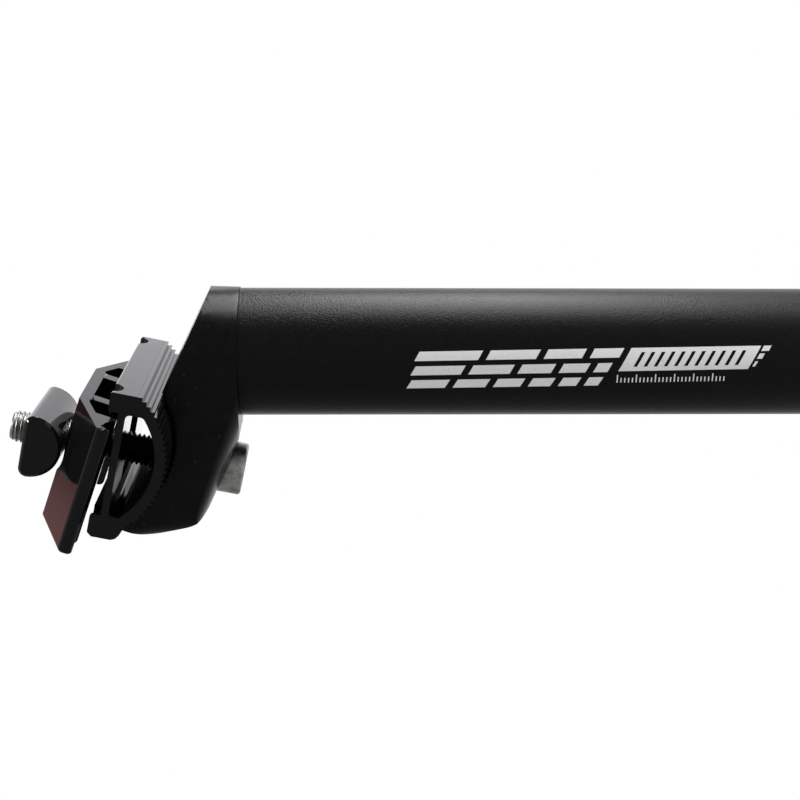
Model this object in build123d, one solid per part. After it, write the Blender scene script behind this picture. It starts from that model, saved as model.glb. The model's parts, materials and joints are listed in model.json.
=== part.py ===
"""Set-back, single-bolt, micro-adjust seatpost: seven separate pieces in one shared frame.

Frame, in mm: +Z runs up the post towards the saddle, +X is forwards, +Y is the rider's left.
The origin is the centre of the post's open lower end.  The clamp pieces are drawn in a clamp
frame (origin at the centre of the serrated seat, local Z along the bolt towards its tip) and
then placed with the saddle tilt.
"""
import os
from math import cos, radians, sin, sqrt

from build123d import *

os.makedirs("parts", exist_ok=True)

# ---- post tube -------------------------------------------------------------------------
POST_D = 27.2            # seat-tube size
POST_WALL = 2.35
POST_LEN = 323.6         # lower end to the seam with the head
POST_CHAMFER = 0.5
SPIGOT_GAP = 0.05        # radial, head spigot in tube
SPIGOT_LEN = 36.0
SPIGOT_BORE_D = 14.0
SPIGOT_CAP = 4.0         # solid left above that bore

# ---- head (forged yoke) ----------------------------------------------------------------
HEAD_W = 27.2            # across, left to right
HEAD_TOP = 6.2           # height of the front edge above the seam
HEAD_FRONT_RUN = 24.0    # how far back the sloping front face runs
HEAD_FRONT_RISE = 11.472  # height gained over that run
HEAD_BACK = (-28.0, 24.3)  # x and height above the seam where the back of the seat begins
HEAD_CORNER_X = -18.6    # where the sloping underside leaves the seam plane
HEAD_REAR_TOP = (-35.6, 25.0)
HEAD_REAR_MID = (-38.0, 20.4)
HEAD_REAR_LOW = (-34.9, 7.9)
HEAD_SECTIONS = (        # height above the seam, rear face, front and rear corner radii
    (0.0, HEAD_CORNER_X, 13.5, 13.5),
    (9.0, -37.2, 12.0, 6.0),
    (30.0, -38.6, 9.0, 3.4),
)
SEAT_X = -15.5           # centre of the serrated seat
SEAT_H = 31.4            # its height above the seam
SEAT_R = 18.08
CHANNEL_W = 13.2         # bolt-head channel in the underside
CHANNEL_REACH = 48.0     # radius that the channel's cutter reaches, about the seat
CHANNEL_SECTOR = (-137.0, -60.0)  # deg, the part of that ring that is cut
CHANNEL_FRONT = -17.1    # front wall of the channel
WASHER_R = 24.45         # cylindrical floor of that channel, concentric with the seat
SLOT_W = 8.0             # bolt slot through the seat
SLOT_LOW = -33.0         # the slot's cutter about the seat, along the bolt
SLOT_HIGH = -11.0
SLOT_STEPS = 6           # positions that the slot is swept through
SLOT_EXTRA = 1.0         # deg past each limit of the tilt
TILT_UP = 3.0            # deg, nose up from the pose drawn
TILT_DOWN = 10.0         # deg, nose down
RELIEF_R = 19.2          # clears the tail of the cradle behind the teeth
RELIEF_SECTOR = (-210.0, -148.5)  # deg
HEAD_HEEL = 0.3          # rise of the underside from the tube to that corner
HEAD_HEEL_ROUND = 8.0
HEAD_REAR_ROUND = 9.0
HEAD_PROUD = 0.2         # head stands this much proud of the tube at the top

# ---- clamp frame -----------------------------------------------------------------------
TILT = 11.5              # deg, bolt axis to post axis
BOLT_X = -4.3            # bolt axis in the clamp frame
TOOTH_PITCH = 360.0 / 88
TOOTH_H = 0.7

# ---- lower cradle ----------------------------------------------------------------------
CRADLE_W = 52.2
CRADLE_R = 18.0
CRADLE_FRONT = 14.3
CRADLE_REAR = -16.3
LIP_Z = -4.45            # plane of the lips that carry the rails
LIP_FRONT = 10.3         # inner edge of the front lip
LIP_REAR = -11.6
LIP_STEP = (0.8, 1.0)    # bevel on the rear lip, across and down
RECESS_Z = -6.6
WEB_Z = -8.1             # underside of the thin top web
CRADLE_WALL = 2.6
CRADLE_TAIL = ((-16.3, -9.4), (-15.9, -10.3), (-15.1, -10.9), (-13.9, -11.4), (-13.0, -11.4))
WINDOW_FRONT = 10.2      # hollow between the top web and the curved wall
WINDOW_REAR = -11.4
WINDOW_ROUND = 0.9
HATCH_X = -1.2           # opening in the top web
HATCH_L = 17.0
HATCH_W = 18.0
HATCH_ROUND = 3.0
CRADLE_SLOT = (11.4, 8.0)  # bolt slot in the curved wall
CRADLE_SLOT_X = -2.7
LIP_ROUND = 0.5          # rounding along the lips

# ---- saddle rails ----------------------------------------------------------------------
RAIL_SPACING = 44.0
GROOVE_R = 3.6
GROOVE_OFF = 1.55        # groove centre above the lip plane

# ---- barrel nut ------------------------------------------------------------------------
NUT_Z = 11.45            # nut axis in the clamp frame
NUT_R = 6.65
NUT_LEN = 26.4
NUT_FLAT = 1.55          # flat above the axis
NUT_ROUND = 1.8          # rounding beside the flat
NUT_CHAMFER = 0.6
NUT_BORE_GAP = 0.07      # radial, round the bolt

# ---- upper clamp (drawn about the nut axis) --------------------------------------------
ROCK = 7.74              # deg it has rocked on the nut
SKEW = -2.5              # deg it has turned about the bolt
UP_FRONT = 13.7
UP_REAR = -14.5
UP_W = 51.6
UP_TOP = -6.7            # flat crown below the nut axis
UP_CROWN = 10.9          # half width of the crown
UP_EDGE = -12.9          # outer edge height at the ends
UP_UNDER = -15.75        # rail side of the ends
UP_SKIN = 2.4            # under the crown
UP_SIDE_SKIN = 2.2       # under the two slopes
UP_RIB = 3.0
UP_TIP_ROUND = 1.2       # rounding along the two side edges
UP_BACK_ROUND = 1.1      # rounding along the rear edge
UP_POCKET = 6.6          # half width of the middle pocket
UP_BEND = 0.6            # the side pockets bend this far outside the crown's edge
UP_POCKET_END = 16.9     # outer wall of the side pockets
UP_POCKET_ROUND = 0.8
UP_STEP = (16.4, 17.2, 2.2)  # the middle stands clear of the rails: half widths and height
UP_SLOT = (13.0, 8.0)    # bolt slot through the crown
NUT_SEAT_Z = 0.15        # centre of the shallow seat for the nut
NUT_SEAT_R = 7.5

# ---- bolt and washer -------------------------------------------------------------------
BOLT_D = 6.9
BOLT_TIP = 17.3          # tip height in the clamp frame
BOLT_UNDER = -26.4       # bearing face of the head
BOLT_HEAD_D = 11.4
BOLT_HEAD_H = 7.0
BOLT_PITCH = 1.0
THREAD_LEN = 32.0
THREAD_DEPTH = 0.58
THREAD_CREST = 0.12      # parts of one pitch: end of the crest, start and end of the root
THREAD_ROOT = (0.53, 0.62)
SHANK_UNDERCUT = 0.1     # plain shank under the thread's size
TIP_CHAMFER = 0.5
HEAD_BREAK = 0.2         # broken edge round its bearing face
HEAD_EDGE = 0.5          # chamfer round the outer end of the head
HEX_AF = 5.0
HEX_DEPTH = 3.6
HEX_LEAD = 0.6           # length of the cone leading into the socket
HEX_LEAD_AT = 0.25       # its middle, inside the head's face
HEX_LEAD_R = (0.35, -0.2)  # its two radii, against the socket's corners
WASHER_L = 12.0
WASHER_W = 12.6
WASHER_ROUND = 1.2
WASHER_GAP = 0.3         # radial, round the bolt
FACE_GAP = 0.06          # washer to channel floor
BEARING_GAP = 0.04       # bolt head to washer

NEAR = 0.1               # tolerance when edges are picked by their place
BEYOND = 4.0             # cutters and blanks run this far past what they trim
FAR = 60.0               # reach of a cutter that runs right through

SEAT = Pos(SEAT_X, 0, POST_LEN + SEAT_H)
CLAMP = SEAT * Rot(0, TILT, 0)
ROCKER = CLAMP * Pos(BOLT_X, 0, NUT_Z) * Rot(0, ROCK, 0) * Rot(0, 0, SKEW)


def slab(sketch, width):
    """Extrude an XZ sketch by half the width to each side of the middle plane."""
    return extrude(Plane.XZ * sketch, width / 2, both=True)


def outline(points):
    return make_face(Polyline(*points, close=True))


def cross_bore(radius, length):
    """Cylinder lying across, left to right."""
    return Rot(90, 0, 0) * Cylinder(radius, length)


def ring_teeth(tip, valley):
    """Closed toothed outline about the origin, alternating between two radii."""
    pts = []
    count = round(360.0 / TOOTH_PITCH)
    for i in range(count):
        a = radians(i * TOOTH_PITCH)
        b = radians((i + 0.5) * TOOTH_PITCH)
        pts.append((tip * cos(a), tip * sin(a)))
        pts.append((valley * cos(b), valley * sin(b)))
    return outline(pts)


def sector(angles, size):
    """Face that covers a sector about the origin, between two angles in degrees."""
    start, end = angles
    pts = [(0, 0)]
    steps = 4
    for i in range(steps + 1):
        a = radians(start + (end - start) * i / steps)
        pts.append((size * cos(a), size * sin(a)))
    return outline(pts)


def edges_at(body, axis, test):
    """Edges of a body along an axis whose centre passes a test."""
    return [e for e in body.edges().filter_by(axis) if test(e.center())]


def post_tube():
    radius = POST_D / 2
    tube = Pos(0, 0, POST_LEN / 2) * Cylinder(radius, POST_LEN)
    tube -= Pos(0, 0, POST_LEN / 2) * Cylinder(radius - POST_WALL, POST_LEN + BEYOND)
    low = tube.edges().group_by(Axis.Z)[0]
    return chamfer(low, POST_CHAMFER)


def head_section(height, rear, r_front, r_rear):
    """Closed section across the head: round-cornered, softer corners in front."""
    w = HEAD_W / 2
    front = POST_D / 2 + HEAD_PROUD
    a = r_front * (1 - sqrt(0.5))
    b = r_rear * (1 - sqrt(0.5))
    right = Line((front - r_front, -w), (rear + r_rear, -w))
    back_r = ThreePointArc((rear + r_rear, -w), (rear + b, -w + b), (rear, -w + r_rear))
    back = Line((rear, -w + r_rear), (rear, w - r_rear))
    back_l = ThreePointArc((rear, w - r_rear), (rear + b, w - b), (rear + r_rear, w))
    left = Line((rear + r_rear, w), (front - r_front, w))
    nose_l = ThreePointArc((front - r_front, w), (front - a, w - a), (front, w - r_front))
    nose = Line((front, w - r_front), (front, -w + r_front))
    nose_r = ThreePointArc((front, -w + r_front), (front - a, -w + a), (front - r_front, -w))
    wire = right + back_r + back + back_l + left + nose_l + nose + nose_r
    return Pos(0, 0, POST_LEN + height) * make_face(wire)


def head_blank():
    """Forging before machining: the side profile, held inside the lofted plan sections."""
    seam = POST_LEN
    r = POST_D / 2
    top = r + HEAD_PROUD
    side = [(top, seam), (top, seam + HEAD_TOP)]
    side.append((top - HEAD_FRONT_RUN, seam + HEAD_TOP + HEAD_FRONT_RISE))
    for x, height in (HEAD_BACK, HEAD_REAR_TOP, HEAD_REAR_MID, HEAD_REAR_LOW):
        side.append((x, seam + height))
    side.append((HEAD_CORNER_X, seam + HEAD_HEEL))
    side.append((-r, seam))
    body = slab(outline(side), HEAD_W + BEYOND)
    low_x = HEAD_REAR_LOW[0]
    body = fillet(edges_at(body, Axis.Y, lambda c: abs(c.X - low_x) < NEAR), HEAD_HEEL_ROUND)
    mid_z = seam + HEAD_REAR_MID[1]
    body = fillet(edges_at(body, Axis.Y, lambda c: abs(c.Z - mid_z) < NEAR), HEAD_REAR_ROUND)
    return body & loft([head_section(*values) for values in HEAD_SECTIONS], ruled=True)


def head_spigot():
    """Plug that is pressed and bonded into the top of the tube."""
    radius = POST_D / 2 - POST_WALL - SPIGOT_GAP
    middle = POST_LEN - SPIGOT_LEN / 2
    return Pos(0, 0, middle) * Cylinder(radius, SPIGOT_LEN)


def bolt_channel():
    """Cutter for the bolt-head channel: up from the underside to the washer's cylinder."""
    ring = (Circle(CHANNEL_REACH) - Circle(WASHER_R)) & sector(CHANNEL_SECTOR, FAR)
    behind_wall = Pos(CHANNEL_FRONT - FAR, 0, POST_LEN) * Box(2 * FAR, FAR, 2 * FAR)
    return (SEAT * slab(ring, CHANNEL_W)) & behind_wall


def head_yoke():
    body = head_blank()
    body += head_spigot()
    bore = Pos(0, 0, POST_LEN - SPIGOT_LEN / 2 - SPIGOT_CAP) * Cylinder(SPIGOT_BORE_D / 2, SPIGOT_LEN)
    body -= bore
    body -= bolt_channel()
    slot_mid = (SLOT_LOW + SLOT_HIGH) / 2
    slot_len = SLOT_HIGH - SLOT_LOW
    swing = TILT_UP + TILT_DOWN + 2 * SLOT_EXTRA
    for step in range(SLOT_STEPS):
        angle = TILT - TILT_UP - SLOT_EXTRA + step * swing / (SLOT_STEPS - 1)
        body -= SEAT * Rot(0, angle, 0) * Pos(BOLT_X, 0, slot_mid) * Box(SLOT_W, SLOT_W, slot_len)
    body -= SEAT * slab(ring_teeth(SEAT_R, SEAT_R + TOOTH_H), HEAD_W + BEYOND)
    relief = Circle(RELIEF_R) & sector(RELIEF_SECTOR, FAR)
    return body - SEAT * slab(relief, HEAD_W + BEYOND)


def rail_grooves(height):
    """Pair of cutters along the saddle rails, at a height in the frame they are cut in."""
    grooves = []
    for side in (-1, 1):
        groove = Rot(0, 90, 0) * Cylinder(GROOVE_R, FAR)
        grooves.append(Pos(0, side * RAIL_SPACING / 2, height) * groove)
    return grooves


def cradle_profile():
    """Serrated half round with two lips and a recess between them, and its blunt tail."""
    across, down = LIP_STEP
    step = [(CRADLE_REAR, LIP_Z - down), (CRADLE_REAR + across, LIP_Z)]
    pts = [(CRADLE_FRONT, LIP_Z), (CRADLE_FRONT, -SEAT_R - BEYOND), (CRADLE_REAR, -SEAT_R - BEYOND)]
    pts += step
    pts += [(LIP_REAR, LIP_Z), (LIP_REAR, RECESS_Z), (LIP_FRONT, RECESS_Z), (LIP_FRONT, LIP_Z)]
    tail = [(CRADLE_TAIL[-1][0], LIP_Z)]
    tail += reversed(step)
    tail += CRADLE_TAIL
    return (outline(pts) & ring_teeth(CRADLE_R, CRADLE_R - TOOTH_H)) + outline(tail)


def cradle_window():
    """Cutter for the hollow that runs right across under the top web."""
    low = -CRADLE_R - BEYOND
    pts = [(WINDOW_FRONT, WEB_Z), (WINDOW_FRONT, low), (WINDOW_REAR, low), (WINDOW_REAR, WEB_Z)]
    window = slab(outline(pts) & Circle(CRADLE_R - CRADLE_WALL), CRADLE_W + BEYOND)
    return fillet(window.edges().filter_by(Axis.Y), WINDOW_ROUND)


def lower_cradle():
    body = slab(cradle_profile(), CRADLE_W)
    body = fillet(edges_at(body, Axis.Y, lambda c: c.Z > LIP_Z - NEAR), LIP_ROUND)
    body -= cradle_window()
    hatch = Pos(HATCH_X, 0, (RECESS_Z + WEB_Z) / 2) * Box(HATCH_L, HATCH_W, BEYOND)
    body -= fillet(hatch.edges().filter_by(Axis.Z), HATCH_ROUND)
    wall_mid = -CRADLE_R + CRADLE_WALL / 2
    body -= Pos(CRADLE_SLOT_X, 0, wall_mid) * extrude(SlotOverall(*CRADLE_SLOT), 2 * BEYOND, both=True)
    for groove in rail_grooves(LIP_Z + GROOVE_OFF):
        body -= groove
    return CLAMP * body


def clamp_pockets():
    """Cutters for the three pockets that run through under the crown."""
    deep = UP_UNDER - BEYOND
    skin = UP_TOP - UP_SKIN
    middle = [(-UP_POCKET, deep), (UP_POCKET, deep), (UP_POCKET, skin), (-UP_POCKET, skin)]
    cut = extrude(Plane.YZ * outline(middle), FAR, both=True)
    slope = (UP_TOP - UP_EDGE) / (UP_W / 2 - UP_CROWN)
    inner = UP_POCKET + UP_RIB
    bend = UP_CROWN + UP_BEND
    side_skin = UP_TOP - UP_SIDE_SKIN
    low_skin = side_skin - slope * (UP_POCKET_END - bend)
    for side in (-1, 1):
        tri = [(side * inner, deep), (side * inner, side_skin), (side * bend, side_skin)]
        tri += [(side * UP_POCKET_END, low_skin), (side * UP_POCKET_END, deep)]
        cut += extrude(Plane.YZ * outline(tri), FAR, both=True)
    return fillet(cut.edges().filter_by(Axis.X).group_by(Axis.Z)[-1], UP_POCKET_ROUND)


def upper_clamp():
    half = UP_W / 2
    inner, outer, rise = UP_STEP
    crown = [(-half, UP_UNDER), (-half, UP_EDGE), (-UP_CROWN, UP_TOP), (UP_CROWN, UP_TOP)]
    crown += [(half, UP_EDGE), (half, UP_UNDER), (outer, UP_UNDER), (inner, UP_UNDER + rise)]
    crown += [(-inner, UP_UNDER + rise), (-outer, UP_UNDER)]
    body = extrude(Plane.YZ * outline(crown), (UP_FRONT - UP_REAR) / 2, both=True)
    body = fillet(edges_at(body, Axis.X, lambda c: abs(c.Y) > half - NEAR), UP_TIP_ROUND)
    back = body.faces().sort_by(Axis.X)[0]
    body = fillet([e for e in back.edges() if e.center().Z > UP_UNDER + rise + NEAR], UP_BACK_ROUND)
    body -= clamp_pockets()
    body = Pos((UP_FRONT + UP_REAR) / 2, 0, 0) * body
    body -= Pos(0, 0, NUT_SEAT_Z) * cross_bore(NUT_SEAT_R, FAR)
    body -= Pos(0, 0, UP_TOP - UP_SKIN) * extrude(SlotOverall(*UP_SLOT), 2 * BEYOND, both=True)
    for groove in rail_grooves(UP_UNDER - GROOVE_OFF):
        body -= groove
    return ROCKER * body


def barrel_nut():
    body = cross_bore(NUT_R, NUT_LEN)
    size = 4 * NUT_R
    body &= Pos(0, 0, NUT_FLAT - size / 2) * Box(size, NUT_LEN + BEYOND, size)
    body = fillet(edges_at(body, Axis.Y, lambda c: c.Z > NUT_FLAT - NEAR), NUT_ROUND)
    ends = body.edges().filter_by(GeomType.CIRCLE)
    ends = [e for e in ends if e.radius > NUT_R - NEAR]
    body = chamfer(ends, NUT_CHAMFER)
    body -= Cylinder(BOLT_D / 2 + NUT_BORE_GAP, size)
    return CLAMP * Pos(BOLT_X, 0, NUT_Z) * body


def bolt_profile():
    """Half section of the bolt from its tip down, as radius and height."""
    r = BOLT_D / 2
    core = r - THREAD_DEPTH
    pts = [(0, BOLT_TIP), (r - 2 * TIP_CHAMFER, BOLT_TIP)]
    z = BOLT_TIP - TIP_CHAMFER
    while z > BOLT_TIP - THREAD_LEN:
        pts.append((r, z))
        pts.append((r, z - THREAD_CREST * BOLT_PITCH))
        pts.append((core, z - THREAD_ROOT[0] * BOLT_PITCH))
        pts.append((core, z - THREAD_ROOT[1] * BOLT_PITCH))
        z -= BOLT_PITCH
    shank = r - SHANK_UNDERCUT
    bearing = BOLT_UNDER + BEARING_GAP / 4
    pts += [(shank, z), (shank, bearing)]
    rim = BOLT_HEAD_D / 2
    low = BOLT_UNDER - BOLT_HEAD_H
    pts += [(rim - HEAD_BREAK, bearing), (rim, BOLT_UNDER - HEAD_BREAK)]
    pts += [(rim, low + HEAD_EDGE), (rim - HEAD_EDGE, low), (0, low)]
    return pts


def clamp_bolt():
    body = revolve(Plane.XZ * outline(bolt_profile()), Axis.Z)
    low = BOLT_UNDER - BOLT_HEAD_H
    corner = HEX_AF / sqrt(3)
    body -= Pos(0, 0, low) * extrude(RegularPolygon(corner, 6), HEX_DEPTH)
    wide, narrow = HEX_LEAD_R
    body -= Pos(0, 0, low + HEX_LEAD_AT) * Cone(corner + wide, corner + narrow, HEX_LEAD)
    return CLAMP * Pos(BOLT_X, 0, 0) * body


def wedge_washer():
    """Flat under the bolt head, round against the floor of the channel."""
    x0 = BOLT_X - WASHER_L / 2
    x1 = BOLT_X + WASHER_L / 2
    flat = BOLT_UNDER + BEARING_GAP * 5 / 4
    block = outline([(x0, flat), (x1, flat), (x1, -SEAT_R), (x0, -SEAT_R)])
    body = slab(block - Circle(WASHER_R + FACE_GAP), WASHER_W)
    body = fillet(body.edges().filter_by(Axis.Z), WASHER_ROUND)
    body -= Pos(BOLT_X, 0, BOLT_UNDER) * Cylinder(BOLT_D / 2 + WASHER_GAP, 2 * WASHER_L)
    return CLAMP * body


NODES = {
    "post_tube": post_tube,
    "head_yoke": head_yoke,
    "lower_cradle": lower_cradle,
    "upper_clamp": upper_clamp,
    "barrel_nut": barrel_nut,
    "clamp_bolt": clamp_bolt,
    "wedge_washer": wedge_washer,
}

for name, make in NODES.items():
    shape = make()
    export_step(shape, "parts/" + name + ".step")
    print(name, round(shape.volume, 1), len(shape.solids()), shape.bounding_box())
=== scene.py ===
"""Look of the set-back seatpost: materials, helical thread, printed bars, light and camera.

All lengths are metres in the frame of the CAD model: +Z up the post, +X forwards, +Y left.
"""
import json
import math

import bpy
from mathutils import Matrix, Vector


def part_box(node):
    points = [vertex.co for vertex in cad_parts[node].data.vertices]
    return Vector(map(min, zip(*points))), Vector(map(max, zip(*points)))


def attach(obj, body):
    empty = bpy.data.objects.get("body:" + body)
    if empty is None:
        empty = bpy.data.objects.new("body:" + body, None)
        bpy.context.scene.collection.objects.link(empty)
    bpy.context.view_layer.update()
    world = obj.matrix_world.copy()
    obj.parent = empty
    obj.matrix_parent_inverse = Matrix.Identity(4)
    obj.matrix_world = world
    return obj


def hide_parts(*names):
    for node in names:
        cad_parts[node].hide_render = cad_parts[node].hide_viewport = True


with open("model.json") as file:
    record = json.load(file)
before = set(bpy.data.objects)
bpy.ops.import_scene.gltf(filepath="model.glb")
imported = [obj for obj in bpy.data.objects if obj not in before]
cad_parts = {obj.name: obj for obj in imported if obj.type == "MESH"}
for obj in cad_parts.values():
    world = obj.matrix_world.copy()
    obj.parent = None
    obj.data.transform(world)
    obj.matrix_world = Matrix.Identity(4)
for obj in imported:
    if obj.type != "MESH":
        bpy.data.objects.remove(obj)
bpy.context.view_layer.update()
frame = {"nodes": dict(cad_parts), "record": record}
NODES = frame["nodes"]
JOINTS = {j["name"]: j for j in frame["record"]["behaviour"]["joints"]}

# ---- places taken from the frame --------------------------------------------------------------
TUBE_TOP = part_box("post_tube")[1]
TUBE_R = TUBE_TOP.x
SEAM_Z = TUBE_TOP.z

# Clamp frame: up the bolt, forwards across it
UP = -Vector(JOINTS["bolt_turn"]["axis"])
FWD = Vector((UP.z, 0, -UP.x))
LEFT = Vector((0, 1, 0))
BOLT_AT = Vector(JOINTS["bolt_turn"]["pos_m"])
SEAT_AT = Vector(JOINTS["saddle_tilt"]["pos_m"])

# Curved bore of the cradle, from the centre of the serrated seat in the clamp frame
BORE_R = 0.0157
REAR_WALL = -0.0112
DULL_BELOW = -0.0095         # the bore is left as cast below this height only

# ---- finishes ---------------------------------------------------------------------------------
SATIN_SPECULAR = 0.11
GLOSS_SPECULAR = 0.19
DULL_ROUGHNESS = 0.62
FLOOR_ROUGHNESS = 0.75
# Painted shade: the thread between the clamp plates is darkened to this tone, as the plates
# shadow it
PAINTED_SHADE_SPAN = (-0.026, 0.001)    # length of thread darkened by painted shade between the clamp plates, along the bolt
PAINTED_SHADE_TONE = 0.035
BOLT_LEAN = math.atan2(UP.x, UP.z)


# ---- node helpers -----------------------------------------------------------------------------
def new_material(name):
    mat = bpy.data.materials.new(name)
    mat.use_nodes = True
    tree = mat.node_tree
    tree.nodes.clear()
    out = tree.nodes.new("ShaderNodeOutputMaterial")
    bsdf = tree.nodes.new("ShaderNodeBsdfPrincipled")
    tree.links.new(bsdf.outputs["BSDF"], out.inputs["Surface"])
    return mat, tree, bsdf


def coords(tree, scale=(1, 1, 1), rotation=(0, 0, 0)):
    """Place on the object in metres, stretched and turned for a texture."""
    place = tree.nodes.new("ShaderNodeTexCoord")
    mapping = tree.nodes.new("ShaderNodeMapping")
    mapping.inputs["Scale"].default_value = scale
    mapping.inputs["Rotation"].default_value = rotation
    tree.links.new(place.outputs["Object"], mapping.inputs["Vector"])
    return mapping.outputs["Vector"]


def noise(tree, vector, scale, detail=4.0, rough=0.5):
    node = tree.nodes.new("ShaderNodeTexNoise")
    node.inputs["Scale"].default_value = scale
    node.inputs["Detail"].default_value = detail
    node.inputs["Roughness"].default_value = rough
    tree.links.new(vector, node.inputs["Vector"])
    return node.outputs["Fac"]


def ramp(tree, fac, stops):
    """Colour ramp from (position, grey or colour) pairs."""
    node = tree.nodes.new("ShaderNodeValToRGB")
    elements = node.color_ramp.elements
    while len(elements) < len(stops):
        elements.new(0.5)
    for element, (position, value) in zip(elements, stops):
        element.position = position
        element.color = (*value, 1) if isinstance(value, tuple) else (value, value, value, 1)
    tree.links.new(fac, node.inputs["Fac"])
    return node.outputs["Color"]


def bump(tree, bsdf, height, strength, distance):
    node = tree.nodes.new("ShaderNodeBump")
    node.inputs["Strength"].default_value = strength
    node.inputs["Distance"].default_value = distance
    tree.links.new(height, node.inputs["Height"])
    tree.links.new(node.outputs["Normal"], bsdf.inputs["Normal"])


def specks(tree, vector, scale, size, fade=1.6):
    """1 on small scattered spots, down to 0 at fade times their size."""
    node = tree.nodes.new("ShaderNodeTexVoronoi")
    node.inputs["Scale"].default_value = scale
    tree.links.new(vector, node.inputs["Vector"])
    return ramp(tree, node.outputs["Distance"], [(0.0, 1.0), (size, 1.0), (size * fade, 0.0)])


def along(tree, origin, direction):
    """Distance of a point from an origin along a direction, in metres."""
    place = tree.nodes.new("ShaderNodeTexCoord")
    offset = tree.nodes.new("ShaderNodeVectorMath")
    offset.operation = "SUBTRACT"
    offset.inputs[1].default_value = origin
    tree.links.new(place.outputs["Object"], offset.inputs[0])
    dot = tree.nodes.new("ShaderNodeVectorMath")
    dot.operation = "DOT_PRODUCT"
    dot.inputs[1].default_value = direction
    tree.links.new(offset.outputs["Vector"], dot.inputs[0])
    return dot.outputs["Value"]


def math_node(tree, operation, first, second):
    node = tree.nodes.new("ShaderNodeMath")
    node.operation = operation
    for socket, value in zip(node.inputs, (first, second)):
        if isinstance(value, (int, float)):
            socket.default_value = value
        else:
            tree.links.new(value, socket)
    return node.outputs["Value"]


def smooth_step(tree, value, low, high):
    """0 at low, 1 at high, with a soft start and end."""
    node = tree.nodes.new("ShaderNodeMapRange")
    node.interpolation_type = "SMOOTHSTEP"
    node.inputs["From Min"].default_value = low
    node.inputs["From Max"].default_value = high
    tree.links.new(value, node.inputs["Value"])
    return node.outputs["Result"]


def mix(tree, fac, first, second):
    """Mix of two colours; each is a socket or an (r, g, b) tuple."""
    node = tree.nodes.new("ShaderNodeMix")
    node.data_type = "RGBA"
    tree.links.new(fac, node.inputs["Factor"])
    for socket, value in (("A", first), ("B", second)):
        if isinstance(value, tuple):
            node.inputs[socket].default_value = (*value, 1)
        else:
            tree.links.new(value, node.inputs[socket])
    return node.outputs["Result"]


def bore_mask(tree):
    """1 on the curved inner wall of the cradle, 0 on its outside and on its flat rear wall."""
    x = along(tree, SEAT_AT, FWD)
    z = along(tree, SEAT_AT, UP)
    squares = [math_node(tree, "MULTIPLY", value, value) for value in (x, z)]
    radius = math_node(tree, "SQRT", math_node(tree, "ADD", *squares), 0.0)
    inside = math_node(tree, "LESS_THAN", radius, BORE_R)
    front = math_node(tree, "GREATER_THAN", x, REAR_WALL)
    low = math_node(tree, "LESS_THAN", z, DULL_BELOW)
    return math_node(tree, "MULTIPLY", math_node(tree, "MULTIPLY", inside, front), low)


# ---- materials --------------------------------------------------------------------------------
def satin_black():
    """Anodised tube over a fine blasted grain."""
    mat, tree, bsdf = new_material("satin_anodised_black")
    blast = noise(tree, coords(tree), scale=2900.0, detail=2.0, rough=0.6)
    broad = noise(tree, coords(tree, scale=(1, 1, 0.3)), scale=45.0, detail=3.0)
    tree.links.new(ramp(tree, blast, [(0.3, 0.0025), (0.75, 0.008)]), bsdf.inputs["Base Color"])
    tree.links.new(ramp(tree, broad, [(0.3, 0.30), (0.7, 0.37)]), bsdf.inputs["Roughness"])
    bsdf.inputs["Specular IOR Level"].default_value = SATIN_SPECULAR
    bump(tree, bsdf, blast, strength=0.75, distance=0.00010)
    return mat


def forged_black():
    """Semi-gloss paint over a forging, with a little dust."""
    mat, tree, bsdf = new_material("forged_semi_gloss_black")
    vec = coords(tree)
    grain = noise(tree, vec, scale=420.0, detail=5.0, rough=0.6)
    broad = noise(tree, vec, scale=70.0, detail=3.0)
    dust = specks(tree, vec, scale=330.0, size=0.055)
    paint = ramp(tree, grain, [(0.3, 0.002), (0.8, 0.006)])
    tree.links.new(mix(tree, dust, paint, (0.03, 0.03, 0.03)), bsdf.inputs["Base Color"])
    tree.links.new(ramp(tree, broad, [(0.3, 0.25), (0.7, 0.36)]), bsdf.inputs["Roughness"])
    bsdf.inputs["Specular IOR Level"].default_value = SATIN_SPECULAR
    bump(tree, bsdf, grain, strength=0.25, distance=0.00012)
    return mat


def gloss_black(name, rough=(0.05, 0.12), tint=(0.006, 0.006, 0.0065), dull_inside=False):
    """Gloss coat over a casting; dull_inside leaves the curved bore of the cradle as cast."""
    mat, tree, bsdf = new_material(name)
    smear = noise(tree, coords(tree, scale=(1, 3, 1)), scale=60.0, detail=4.0, rough=0.6)
    peel = noise(tree, coords(tree), scale=240.0, detail=2.0)
    low = tuple(0.5 * c for c in tint)
    tree.links.new(ramp(tree, smear, [(0.3, low), (0.8, tint)]), bsdf.inputs["Base Color"])
    gloss = ramp(tree, smear, [(0.35, rough[0]), (0.75, rough[1])])
    if dull_inside:
        gloss = mix(tree, bore_mask(tree), gloss, (DULL_ROUGHNESS,) * 3)
    tree.links.new(gloss, bsdf.inputs["Roughness"])
    bsdf.inputs["Specular IOR Level"].default_value = GLOSS_SPECULAR
    bump(tree, bsdf, peel, strength=0.12, distance=0.00006)
    return mat


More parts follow.
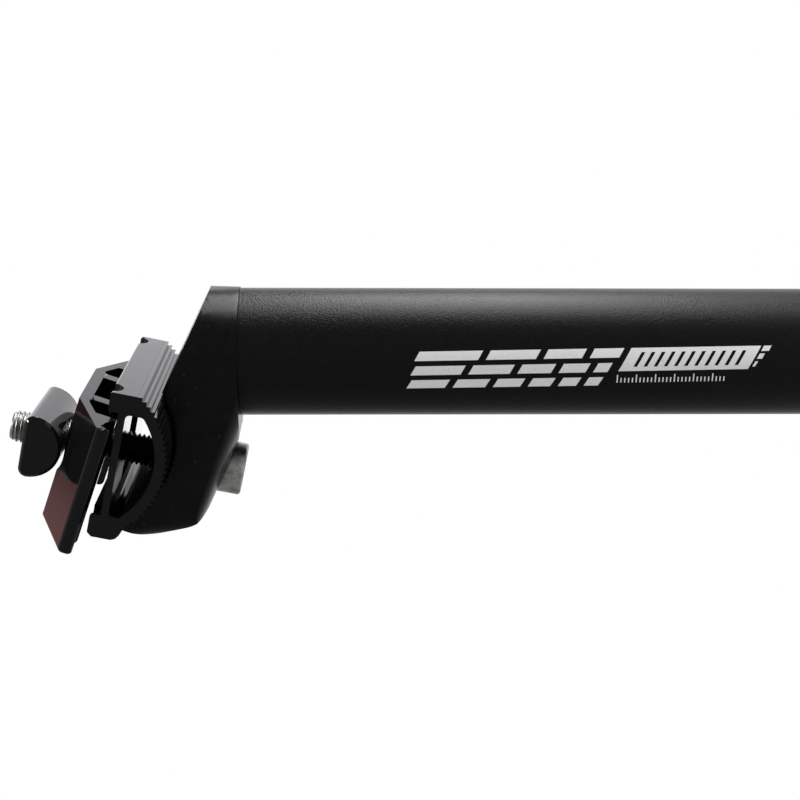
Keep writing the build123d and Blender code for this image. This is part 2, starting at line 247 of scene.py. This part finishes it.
def zinc(name, painted_shade=False):
    """Zinc plate; the flag adds painted shade, darkening the thread between the clamp plates
    where they shadow it.
    """
    mat, tree, bsdf = new_material(name)
    mottle = noise(tree, coords(tree), scale=380.0, detail=6.0, rough=0.65)
    down_bolt = coords(tree, scale=(1, 1, 0.12), rotation=(0, -BOLT_LEAN, 0))
    streak = noise(tree, down_bolt, scale=900.0, detail=3.0)
    colour = ramp(tree, mottle, [(0.32, (0.16, 0.16, 0.15)), (0.62, (0.42, 0.42, 0.40))])
    if painted_shade:
        # painted shade on the thread between the clamp plates, fading in and out at the ends of
        # the span
        span = tree.nodes.new("ShaderNodeMapRange")
        span.inputs["From Min"].default_value = PAINTED_SHADE_SPAN[0]
        span.inputs["From Max"].default_value = PAINTED_SHADE_SPAN[1]
        tree.links.new(along(tree, BOLT_AT, UP), span.inputs["Value"])
        stops = [(0.0, 0.0), (0.08, 1.0), (0.9, 1.0), (1.0, 0.0)]
        colour = mix(tree, ramp(tree, span.outputs["Result"], stops), colour, (PAINTED_SHADE_TONE,) * 3)
    tree.links.new(colour, bsdf.inputs["Base Color"])
    tree.links.new(ramp(tree, streak, [(0.3, 0.26), (0.7, 0.46)]), bsdf.inputs["Roughness"])
    bsdf.inputs["Metallic"].default_value = 1.0
    bump(tree, bsdf, mottle, strength=0.2, distance=0.0001)
    return mat


def print_white():
    """White screen print, slightly worn."""
    mat, tree, bsdf = new_material("printed_white")
    worn = noise(tree, coords(tree), scale=1500.0, detail=4.0, rough=0.7)
    tree.links.new(ramp(tree, worn, [(0.24, 0.60), (0.40, 0.94)]), bsdf.inputs["Base Color"])
    tree.links.new(ramp(tree, worn, [(0.3, 0.6), (0.7, 0.45)]), bsdf.inputs["Roughness"])
    bump(tree, bsdf, worn, strength=0.15, distance=0.00004)
    return mat


def floor_material():
    mat, tree, bsdf = new_material("pale_floor")
    grain = noise(tree, coords(tree), scale=60.0, detail=4.0)
    tree.links.new(ramp(tree, grain, [(0.3, 0.80), (0.7, 0.84)]), bsdf.inputs["Base Color"])
    bsdf.inputs["Roughness"].default_value = FLOOR_ROUGHNESS
    return mat


# ---- camera -----------------------------------------------------------------------------------
# The photo has the post lying down: its right is down the post (-Z), its top is forwards (+X).
CAM_PLACE = Vector((0.07578, -0.33524, SEAM_Z - 0.0201))
YAW = math.radians(2.41)
PITCH_DOWN = math.radians(14.47)
ROLL = math.radians(0.55)
FOCAL_MM = 72.0
SENSOR_MM = 36.0
CLIP_NEAR, CLIP_FAR = 0.01, 20.0


def from_photo(right, up, near):
    """Photo axes (right, up, towards the viewer) in the frame of the post."""
    return Vector((up, -near, -right))


def make_camera():
    cos_yaw, sin_yaw = math.cos(YAW), math.sin(YAW)
    cos_pitch, sin_pitch = math.cos(PITCH_DOWN), math.sin(PITCH_DOWN)
    ahead = from_photo(sin_yaw * cos_pitch, -sin_pitch, -cos_yaw * cos_pitch)
    side = from_photo(cos_yaw, 0, sin_yaw)
    over = side.cross(ahead)
    right = side * math.cos(ROLL) + over * math.sin(ROLL)
    top = over * math.cos(ROLL) - side * math.sin(ROLL)
    placed = Matrix((right, top, -ahead)).transposed().to_4x4()
    placed.translation = CAM_PLACE
    cam = bpy.data.objects.new("camera", bpy.data.cameras.new("camera"))
    bpy.context.scene.collection.objects.link(cam)
    cam.matrix_world = placed
    cam.data.lens = FOCAL_MM
    cam.data.sensor_width = SENSOR_MM
    cam.data.clip_start = CLIP_NEAR
    cam.data.clip_end = CLIP_FAR
    bpy.context.scene.camera = cam


# ---- light and surround -----------------------------------------------------------------------
# Each lamp: name, place, point it faces, size of its sides, power in watts
LAMPS = (
    ("soft_over", (0.88, 0.27, 0.20), (0, 0, 0.20), (0.9, 0.24), 15.0),
    ("edge_light", (0.16, -0.06, 0.95), (-0.01, 0, 0.34), (0.12, 0.12), 3.0),
)
# Brightness of the surround in each direction
CAMERA_SIDE = (0.43, 0.43, 0.435)
BEHIND = (1.45, 1.43, 1.48)
OVERHEAD = (0.22, 0.22, 0.23)
TABLE_SIDE = (0.36, 0.36, 0.35)
WARM = (0.66, 0.33, 0.32)
WARM_FAR = (0.10, 0.022, 0.022)
WARM_TOWARDS = Vector((-0.10, 0.71, 0.70)).normalized()
# Where one part of the surround gives way to the next, as components of a unit direction
BEHIND_FROM = (-0.1, 0.8)
OVERHEAD_FROM = (0.38, 0.62)
TABLE_FROM = (-0.35, -0.8)
WARM_FROM = (0.90, 0.965)
WARM_NEAR_FROM = (-0.085, -0.150)


def make_lamp(name, place, target, size, power):
    data = bpy.data.lights.new(name, "AREA")
    data.shape = "RECTANGLE"
    data.size, data.size_y = size
    data.energy = power
    obj = bpy.data.objects.new(name, data)
    bpy.context.scene.collection.objects.link(obj)
    obj.location = place
    obj.rotation_mode = "QUATERNION"
    obj.rotation_quaternion = (Vector(target) - Vector(place)).to_track_quat("-Z", "Y")


def make_world():
    """Studio surround for light and reflections, plain white where the camera sees it."""
    world = bpy.data.worlds.new("studio")
    bpy.context.scene.world = world
    world.use_nodes = True
    tree = world.node_tree
    tree.nodes.clear()
    link = tree.links.new
    towards = tree.nodes.new("ShaderNodeTexCoord").outputs["Generated"]
    xyz = tree.nodes.new("ShaderNodeSeparateXYZ")
    link(towards, xyz.inputs["Vector"])
    x, y = xyz.outputs["X"], xyz.outputs["Y"]
    dot = tree.nodes.new("ShaderNodeVectorMath")
    dot.operation = "DOT_PRODUCT"
    dot.inputs[1].default_value = WARM_TOWARDS
    link(towards, dot.inputs[0])
    colour = mix(tree, smooth_step(tree, y, *BEHIND_FROM), CAMERA_SIDE, BEHIND)
    colour = mix(tree, smooth_step(tree, x, *OVERHEAD_FROM), colour, OVERHEAD)
    colour = mix(tree, smooth_step(tree, x, *TABLE_FROM), colour, TABLE_SIDE)
    warm = mix(tree, smooth_step(tree, x, *WARM_NEAR_FROM), WARM_FAR, WARM)
    colour = mix(tree, smooth_step(tree, dot.outputs["Value"], *WARM_FROM), colour, warm)
    lit = tree.nodes.new("ShaderNodeBackground")
    link(colour, lit.inputs["Color"])
    seen = tree.nodes.new("ShaderNodeBackground")
    seen.inputs["Color"].default_value = (1, 1, 1, 1)
    path = tree.nodes.new("ShaderNodeLightPath")
    both = tree.nodes.new("ShaderNodeMixShader")
    link(path.outputs["Is Camera Ray"], both.inputs["Fac"])
    link(lit.outputs["Background"], both.inputs[1])
    link(seen.outputs["Background"], both.inputs[2])
    out = tree.nodes.new("ShaderNodeOutputWorld")
    link(both.outputs["Shader"], out.inputs["Surface"])


# ---- floor ------------------------------------------------------------------------------------
FLOOR_R = 0.55
FLOOR_SIDES = 96


def make_floor():
    bpy.ops.mesh.primitive_circle_add(vertices=FLOOR_SIDES, radius=FLOOR_R, fill_type="NGON")
    floor = bpy.context.object
    floor.name = "floor"
    floor.data.materials.append(floor_material())


# ---- CAD nodes: better finishes and softened edges --------------------------------------------
WELD_DISTANCE = 1e-6
EDGE_SEGMENTS = 2
NORMAL_WEIGHT = 80


def finish_node(node, mat, edge, crease):
    """Finish a CAD node, and round its edges sharper than crease (degrees) by edge (metres)."""
    obj = NODES[node]
    for slot in obj.material_slots:
        slot.material = mat
    weld = obj.modifiers.new("weld", "WELD")
    weld.merge_threshold = WELD_DISTANCE
    bevel = obj.modifiers.new("edge", "BEVEL")
    bevel.width = edge
    bevel.segments = EDGE_SEGMENTS
    bevel.limit_method = "ANGLE"
    bevel.angle_limit = math.radians(crease)
    bevel.use_clamp_overlap = True
    even = obj.modifiers.new("even", "WEIGHTED_NORMAL")
    even.weight = NORMAL_WEIGHT


def finish_cad_nodes():
    nut = gloss_black("gloss_black_nut", (0.04, 0.10), (0.008, 0.007, 0.007))
    finish_node("post_tube", satin_black(), 0.00012, 32)
    finish_node("head_yoke", forged_black(), 0.0005, 32)
    finish_node("lower_cradle", gloss_black("gloss_black_cradle", dull_inside=True), 0.00022, 24)
    finish_node("upper_clamp", gloss_black("gloss_black_clamp"), 0.0003, 19)
    finish_node("barrel_nut", nut, 0.00018, 32)
    finish_node("wedge_washer", zinc("zinc_washer"), 0.0002, 32)


# ---- pieces made as meshes --------------------------------------------------------------------
def mesh_piece(name, verts, faces, mat, body):
    mesh = bpy.data.meshes.new(name)
    mesh.from_pydata(verts, [], faces)
    mesh.validate()
    mesh.materials.append(mat)
    for polygon in mesh.polygons:
        polygon.use_smooth = True
    obj = bpy.data.objects.new(name, mesh)
    bpy.context.scene.collection.objects.link(obj)
    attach(obj, body)
    return obj


# ---- bolt with a real helical thread ----------------------------------------------------------
PITCH = 0.001
BOLT_R = 0.00345
HEAD_R = 0.0057
HEAD_H = 0.007
HEAD_RIM = 0.0006            # rounded outer edge of the head
HEAD_CHAMFER = 0.0003        # edge of the head on the washer's side
SHANK_BELOW_CREST = 0.0002
SHANK_END_GAP = 0.0004       # plain shank stops this far from the thread and from the head
HEAD_FLARE = 0.0001          # shank widens to this much over the crest at the head
THREAD_LENGTH = 0.032
THREAD_DEPTH = 0.00058
CREST_END, ROOT_START, ROOT_END = 0.12, 0.52, 0.60    # along one pitch
LEAD_TURNS, RUNOUT_TURNS = 1.2, 1.5
RUNOUT_DEPTH = 0.3           # part of the thread's depth where it fades into the shank
TIP_DEPTH = 1.1              # the same at the tip
SOCKET_HALF = 0.0025         # half across the flats
SOCKET_DEPTH = 0.0036
SOCKET_FLOOR = 0.0042        # point of the coned floor
LEAD_IN_WIDER = 0.00045
LEAD_IN_DEPTH = 0.0004
SIDES = 56
ROWS_PER_TURN = 10


def thread_depth(phase):
    """Depth below the crest, 0..1, at a phase along one pitch."""
    p = phase % 1.0
    if p < CREST_END:
        return 0.0
    if p < ROOT_START:
        return (p - CREST_END) / (ROOT_START - CREST_END)
    if p < ROOT_END:
        return 1.0
    return 1.0 - (p - ROOT_END) / (1.0 - ROOT_END)


def ring(radius_at, z):
    """Points round the bolt at one height; radius_at gives the radius at a part of a turn."""
    points = []
    for k in range(SIDES):
        angle = 2 * math.pi * k / SIDES
        radius = radius_at(k / SIDES)
        points.append((radius * math.cos(angle), radius * math.sin(angle), z))
    return points


def thread_rings(top):
    """Rings down the thread, which fades in at the tip and out at the shank."""
    rings = []
    rows = int(THREAD_LENGTH / PITCH * ROWS_PER_TURN) + 1
    for i in range(rows):
        lead = min(1.0, i / (LEAD_TURNS * ROWS_PER_TURN))
        fade = min(1.0, (rows - 1 - i) / (RUNOUT_TURNS * ROWS_PER_TURN))

        def radius_at(turn):
            radius = BOLT_R - THREAD_DEPTH * thread_depth(i / ROWS_PER_TURN + turn)
            radius = radius * fade + (BOLT_R - THREAD_DEPTH * RUNOUT_DEPTH) * (1 - fade)
            return min(radius, BOLT_R - THREAD_DEPTH * TIP_DEPTH * (1 - lead))

        rings.append(ring(radius_at, top - i * PITCH / ROWS_PER_TURN))
    return rings


def shank_and_head_rings(thread_end, low):
    """Rings down the plain shank and round the head to its outer face."""
    under = low + HEAD_H
    shank = BOLT_R - SHANK_BELOW_CREST
    profile = [(shank, thread_end - SHANK_END_GAP), (shank, under + SHANK_END_GAP)]
    profile += [(BOLT_R + HEAD_FLARE, under), (HEAD_R - HEAD_CHAMFER, under)]
    profile += [(HEAD_R, under - HEAD_CHAMFER), (HEAD_R, low + HEAD_RIM)]
    profile += [(HEAD_R - 0.3 * HEAD_RIM, low + 0.35 * HEAD_RIM), (HEAD_R - HEAD_RIM, low)]
    return [ring(lambda turn, r=radius: r, z) for radius, z in profile]


def socket_rings(low):
    """Hexagonal rings: a lead-in at the head's face, then down to the socket's floor."""
    rings = []
    sixth = math.pi / 3
    for wider, depth in ((LEAD_IN_WIDER, 0.0), (0.0, LEAD_IN_DEPTH), (0.0, SOCKET_DEPTH)):

        def radius_at(turn):
            off_flat = (2 * math.pi * turn + sixth / 2) % sixth - sixth / 2
            return SOCKET_HALF / math.cos(off_flat) + wider

        rings.append(ring(radius_at, low + depth))
    return rings


def make_bolt():
    """One closed skin of rings from the tip to the floor of the socket."""
    heights = [(v.co - BOLT_AT).dot(UP) for v in NODES["clamp_bolt"].data.vertices]
    low, top = min(heights), max(heights)
    rings = thread_rings(top)
    rings += shank_and_head_rings(top - THREAD_LENGTH, low)
    rings += socket_rings(low)
    points = [point for one in rings for point in one]
    faces = [tuple(range(SIDES))]
    for row in range(len(rings) - 1):
        here, below = row * SIDES, (row + 1) * SIDES
        for k in range(SIDES):
            n = (k + 1) % SIDES
            faces.append((here + k, below + k, below + n, here + n))
    floor_point = len(points)
    points.append((0, 0, low + SOCKET_FLOOR))
    last = floor_point - SIDES
    for k in range(SIDES):
        faces.append((last + k, floor_point, last + (k + 1) % SIDES))
    placed = Matrix((FWD, LEFT, UP)).transposed().to_4x4()
    placed.translation = BOLT_AT
    verts = [placed @ Vector(point) for point in points]
    # the bolt's zinc carries painted shade on the thread between the clamp plates
    obj = mesh_piece("bolt_threaded", verts, faces, zinc("zinc_bolt", painted_shade=True), "bolt")
    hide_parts("clamp_bolt")


# ---- printed bars on the tube -----------------------------------------------------------------
# The print is drawn flat: s is the distance below the seam, t the distance round the tube.
PRINT_R = TUBE_R + 0.00004   # the ink stands this proud of the tube
GRID_COLUMN = 0.001          # quads are split about this long down the tube
GRID_ROW = 0.0008            # and this long round it
PRINT_TILT = 0.018           # the print climbs forwards a little on its way down the tube
PRINT_LEVEL = 0.1047         # distance below the seam where that shift is nil
LEAN = 0.55                  # slant of the bars
BAR_TOP = 0.00415            # edge of the print nearest the front of the tube
BAR_PITCH = 0.00305
BAR_GAP = 0.0011
BAR_START = 0.0353
BAR_STEP = 0.0009            # each row starts this much later
BAR_ROWS = 5
DASH_GAP = 0.0016
DASH_ROWS = (
    (0.0132, 0.0104, 0.0080, 0.0062),
    (0.0104, 0.0086, 0.0070, 0.0056, 0.0030),
    (0.0080, 0.0068, 0.0057, 0.0047, 0.0038, 0.0030),
)
PANEL_LOW = -0.0007
PANEL_START, PANEL_END = 0.0790, 0.1062
PANEL_MARGIN = 0.0009        # white left above and below the slashes
PANEL_INSET = 0.0030         # white left before and after them
SLASHES = 11
SLASH_W = 0.00075
TAIL_BARS = 3
TAIL_GAP = 0.0006
TAIL_LENGTH = 0.0016
TAIL_SHORTER = 0.0005        # each tail bar is this much shorter than the one above
TAIL_HEIGHT = 0.0011
TICKS = 29
TICK_START = 0.0788
TICK_PITCH = 0.0008
TICK_W = 0.00026
TICK_TOP, TICK_LOW = -0.0015, -0.0033
TICK_SHORT = 0.0007          # the ticks between every fifth are this much shorter
TICK_LONG_EVERY = 5


class FlatPrint:
    """Quads drawn flat, then laid on the side of the tube that faces the camera."""

    def __init__(self):
        self.points = []
        self.faces = []

    def quad(self, corners, columns, rows):
        """Grid between four (s, t) corners: top-left, top-right, bottom-right, bottom-left."""
        top_left, top_right, low_right, low_left = [Vector(c) for c in corners]
        start = len(self.points)
        for j in range(rows + 1):
            left = top_left.lerp(low_left, j / rows)
            right = top_right.lerp(low_right, j / rows)
            for i in range(columns + 1):
                self.points.append(tuple(left.lerp(right, i / columns)))
        for j in range(rows):
            for i in range(columns):
                a = start + j * (columns + 1) + i
                self.faces.append((a, a + 1, a + columns + 2, a + columns + 1))

    def lay(self, name, ink):
        verts = []
        for s, t in self.points:
            angle = (t + PRINT_TILT * (s - PRINT_LEVEL)) / TUBE_R
            verts.append((PRINT_R * math.sin(angle), -PRINT_R * math.cos(angle), SEAM_Z - s))
        mesh_piece(name, verts, self.faces, ink, "post")


def print_bars(ink):
    """Three rows of slanted dashes that shorten down the tube."""
    bars = FlatPrint()
    for row, lengths in enumerate(DASH_ROWS):
        high = BAR_TOP - row * BAR_PITCH
        low = high - BAR_PITCH + BAR_GAP
        a = BAR_START + BAR_STEP * row
        for length in lengths:
            b = a + length
            top = ((a + high * LEAN, high), (b + high * LEAN, high))
            bottom = ((b + low * LEAN, low), (a + low * LEAN, low))
            bars.quad(top + bottom, max(2, int(length / GRID_COLUMN)), BAR_ROWS)
            a = b + DASH_GAP
    bars.lay("print_bars", ink)


def panel_quad(panel, start, end, high, low):
    """Slanted piece of the panel between two places along its lower edge."""
    up = (high - PANEL_LOW) * LEAN
    down = (low - PANEL_LOW) * LEAN
    corners = ((start + up, high), (end + up, high), (end + down, low), (start + down, low))
    columns = max(1, round((end - start) / GRID_COLUMN))
    rows = max(1, round((high - low) / GRID_ROW))
    panel.quad(corners, columns, rows)


def print_panel(ink):
    """Slanted panel with slashes left out of it, and three small bars at its end."""
    panel = FlatPrint()
    inner_top = BAR_TOP - PANEL_MARGIN
    inner_low = PANEL_LOW + PANEL_MARGIN
    panel_quad(panel, PANEL_START, PANEL_END, BAR_TOP, inner_top)
    panel_quad(panel, PANEL_START, PANEL_END, inner_low, PANEL_LOW)
    first = PANEL_START + PANEL_INSET
    span = PANEL_END - PANEL_INSET - first
    edges = [PANEL_START]
    for k in range(SLASHES):
        middle = first + span * k / (SLASHES - 1)
        edges += [middle - SLASH_W / 2, middle + SLASH_W / 2]
    edges.append(PANEL_END)
    for start, end in zip(edges[::2], edges[1::2]):
        panel_quad(panel, start, end, inner_top, inner_low)
    for k in range(TAIL_BARS):
        high = BAR_TOP - k * (BAR_TOP - PANEL_LOW) / TAIL_BARS
        start = PANEL_END + TAIL_GAP
        end = start + TAIL_LENGTH - TAIL_SHORTER * k
        panel_quad(panel, start, end, high, high - TAIL_HEIGHT)
    panel.lay("print_panel", ink)


def print_ticks(ink):
    """Row of fine ticks below the panel."""
    ticks = FlatPrint()
    for k in range(TICKS):
        start = TICK_START + TICK_PITCH * k
        end = start + TICK_W
        high = TICK_TOP if k % TICK_LONG_EVERY == 0 else TICK_TOP - TICK_SHORT
        ticks.quad(((start, high), (end, high), (end, TICK_LOW), (start, TICK_LOW)), 1, 2)
    ticks.lay("print_ticks", ink)


# ---- the scene --------------------------------------------------------------------------------
make_camera()
for lamp in LAMPS:
    make_lamp(*lamp)
make_world()
bpy.context.scene.view_settings.view_transform = "Standard"
make_floor()
finish_cad_nodes()
make_bolt()
white_ink = print_white()
print_bars(white_ink)
print_panel(white_ink)
print_ticks(white_ink)
